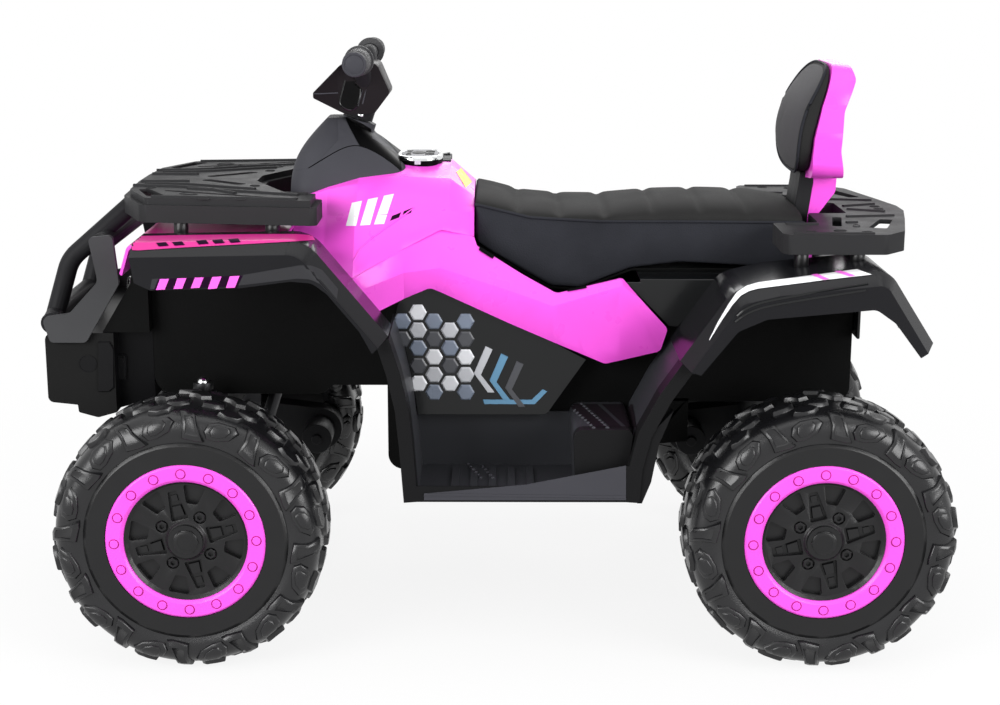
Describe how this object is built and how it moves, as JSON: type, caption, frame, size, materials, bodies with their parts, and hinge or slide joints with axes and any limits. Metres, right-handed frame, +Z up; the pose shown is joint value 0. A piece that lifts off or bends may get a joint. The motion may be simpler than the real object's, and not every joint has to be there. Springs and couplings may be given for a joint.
{
  "type": "kids ride-on quad bike",
  "caption": "Battery ride-on quad bike for a child: lugged wheels, handlebar steering, arched fenders, slotted racks, channelled seat and padded backrest.",
  "frame": {"origin": "on the ground under the middle of the vehicle's outline box", "axes": "+X to the rear, +Y to the rider's right, +Z up; the front faces -X"},
  "size_m": [1.166, 0.676, 0.755],
  "materials": {
    "pink_body": "gloss",
    "black_plastic": "satin",
    "gloss_black": "gloss",
    "tyre": "matte",
    "rim_black": "satin",
    "steel": "brushed",
    "seat_vinyl": "grained",
    "engine_print": "gloss",
    "lamp_lens": "clear gloss",
    "grip_rubber": "ribbed",
    "red_button": "gloss",
    "battery_case": "matte",
    "grey_case": "matte"
  },
  "bodies": {
    "chassis": {"backrest_pad": "seat_vinyl", "backrest_shell": "pink_body", "battery": "battery_case", "bull_bar": "gloss_black", "chassis_tub": "black_plastic", "dash_cover": "gloss_black", "dash_tower": "black_plastic", "front_axle_beam": "grey_case", "front_cowl": "pink_body", "front_fascia": "black_plastic", "front_rack": "black_plastic", "headlamps": "lamp_lens", "instrument_panel": "gloss_black", "left_engine_cover": "engine_print", "left_footwell": "black_plastic", "left_front_fender": "black_plastic", "left_rear_fender": "black_plastic", "left_side_panel": "pink_body", "lower_bumper": "black_plastic", "rack_posts": "black_plastic", "rear_axle": "steel", "rear_axle_carrier": "grey_case", "rear_body": "gloss_black", "rear_left_gearbox": "grey_case", "rear_rack": "black_plastic", "rear_right_gearbox": "grey_case", "right_engine_cover": "engine_print", "right_footwell": "black_plastic", "right_front_fender": "black_plastic", "right_rear_fender": "black_plastic", "right_side_panel": "pink_body", "seat_cushion": "seat_vinyl", "seat_pan": "black_plastic", "tank_cover": "pink_body"},
    "steering": {"handlebar": "steel", "handlebar_cover": "black_plastic", "left_grip": "grip_rubber", "right_grip": "grip_rubber", "steering_column": "steel"},
    "horn": {"horn_button": "red_button"},
    "left_knuckle": {"left_knuckle": "steel", "front_left_gearbox": "grey_case"},
    "right_knuckle": {"right_knuckle": "steel", "front_right_gearbox": "grey_case"},
    "tie_rod": {"tie_rod": "steel"},
    "pedal": {"accelerator_pedal": "grey_case"},
    "power_button": {"power_button": "red_button"},
    "direction_rocker": {"direction_rocker": "gloss_black"},
    "front_left_wheel": {"front_left_tyre": "tyre", "front_left_rim": "rim_black", "front_left_ring": "pink_body"},
    "front_right_wheel": {"front_right_tyre": "tyre", "front_right_rim": "rim_black", "front_right_ring": "pink_body"},
    "rear_left_wheel": {"rear_left_tyre": "tyre", "rear_left_rim": "rim_black", "rear_left_ring": "pink_body"},
    "rear_right_wheel": {"rear_right_tyre": "tyre", "rear_right_rim": "rim_black", "rear_right_ring": "pink_body"}
  },
  "joints": [
    {"name": "steering_turn", "type": "hinge", "parent": "chassis", "child": "steering", "pos_m": [-0.1745, 0, 0.645], "axis": [0.309, 0, 0.9511], "range_deg": [-25, 25]},
    {"name": "left_kingpin", "type": "hinge", "parent": "chassis", "child": "left_knuckle", "pos_m": [-0.367, -0.168, 0.28], "axis": [0, 0, 1], "range_deg": [-20.5, 20.5]},
    {"name": "right_kingpin", "type": "hinge", "parent": "chassis", "child": "right_knuckle", "pos_m": [-0.367, 0.168, 0.28], "axis": [0, 0, 1], "range_deg": [-20.5, 20.5]},
    {"name": "tie_rod_shift", "type": "slide", "parent": "chassis", "child": "tie_rod", "axis": [0, 1, 0], "range_m": [-0.0206, 0.0206]},
    {"name": "pedal_press", "type": "hinge", "parent": "chassis", "child": "pedal", "pos_m": [-0.011, 0.228, 0.2225], "axis": [0, -1, 0], "range_deg": [0, 12], "stiffness_Nm_per_rad": 2, "springref_deg": -5.73},
    {"name": "power_press", "type": "slide", "parent": "chassis", "child": "power_button", "axis": [0, 0, -1], "range_m": [0, 0.0015], "stiffness_N_per_m": 600},
    {"name": "direction_tilt", "type": "hinge", "parent": "chassis", "child": "direction_rocker", "pos_m": [-0.064, 0.066, 0.595], "axis": [0, 1, 0], "range_deg": [-8, 8]},
    {"name": "horn_press", "type": "slide", "parent": "steering", "child": "horn", "axis": [0, 0, -1], "range_m": [0, 0.0015], "stiffness_N_per_m": 600},
    {"name": "front_left_spin", "type": "hinge", "parent": "left_knuckle", "child": "front_left_wheel", "pos_m": [-0.367, -0.276, 0.17], "axis": [0, 1, 0], "continuous": true},
    {"name": "front_right_spin", "type": "hinge", "parent": "right_knuckle", "child": "front_right_wheel", "pos_m": [-0.367, 0.276, 0.17], "axis": [0, 1, 0], "continuous": true},
    {"name": "rear_left_spin", "type": "hinge", "parent": "chassis", "child": "rear_left_wheel", "pos_m": [0.413, -0.276, 0.17], "axis": [0, 1, 0], "continuous": true},
    {"name": "rear_right_spin", "type": "hinge", "parent": "chassis", "child": "rear_right_wheel", "pos_m": [0.413, 0.276, 0.17], "axis": [0, 1, 0], "continuous": true}
  ],
  "couplings": [
    {"joint": "left_kingpin", "follows": "steering_turn", "ratio": 0.8},
    {"joint": "right_kingpin", "follows": "steering_turn", "ratio": 0.8},
    {"joint": "tie_rod_shift", "follows": "steering_turn", "m_per_rad": -0.047031}
  ]
}
